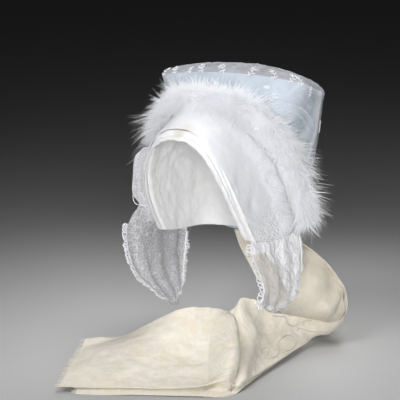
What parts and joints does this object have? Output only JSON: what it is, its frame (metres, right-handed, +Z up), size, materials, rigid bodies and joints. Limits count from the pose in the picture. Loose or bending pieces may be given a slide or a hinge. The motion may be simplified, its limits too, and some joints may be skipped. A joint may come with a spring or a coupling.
{
  "type": "folk bonnet with fur band, lappets and silk ribbon",
  "caption": "Tall folk bonnet of white linen and blue silk under net, with a white fur band, lace-edged lappets and a wide cream ribbon.",
  "frame": {"origin": "inside of the under-cap's top, where it sits on the top of the wearer's head", "axes": "+Z up, -Y to the wearer's front, +X to the wearer's left"},
  "size_m": [0.3187, 0.4959, 0.412],
  "materials": {
    "linen": "matt plain weave",
    "batiste": "soft matt fine weave",
    "blue_silk": "satin",
    "net": "matt, sheer",
    "fur": "soft, matt",
    "lace": "matt",
    "ribbon_silk": "silk with a woven pattern"
  },
  "bodies": {
    "root": {"under_cap": "linen", "front_panel": "batiste", "crown_form": "blue_silk", "crown_net": "net", "fur_band": "fur", "lappet_left": "lace", "lappet_right": "lace", "cheek_frill": "lace", "lappet_trim_left": "lace", "lappet_trim_right": "lace", "ribbon_upper": "ribbon_silk", "ribbon_lower": "ribbon_silk"}
  },
  "joints": []
}
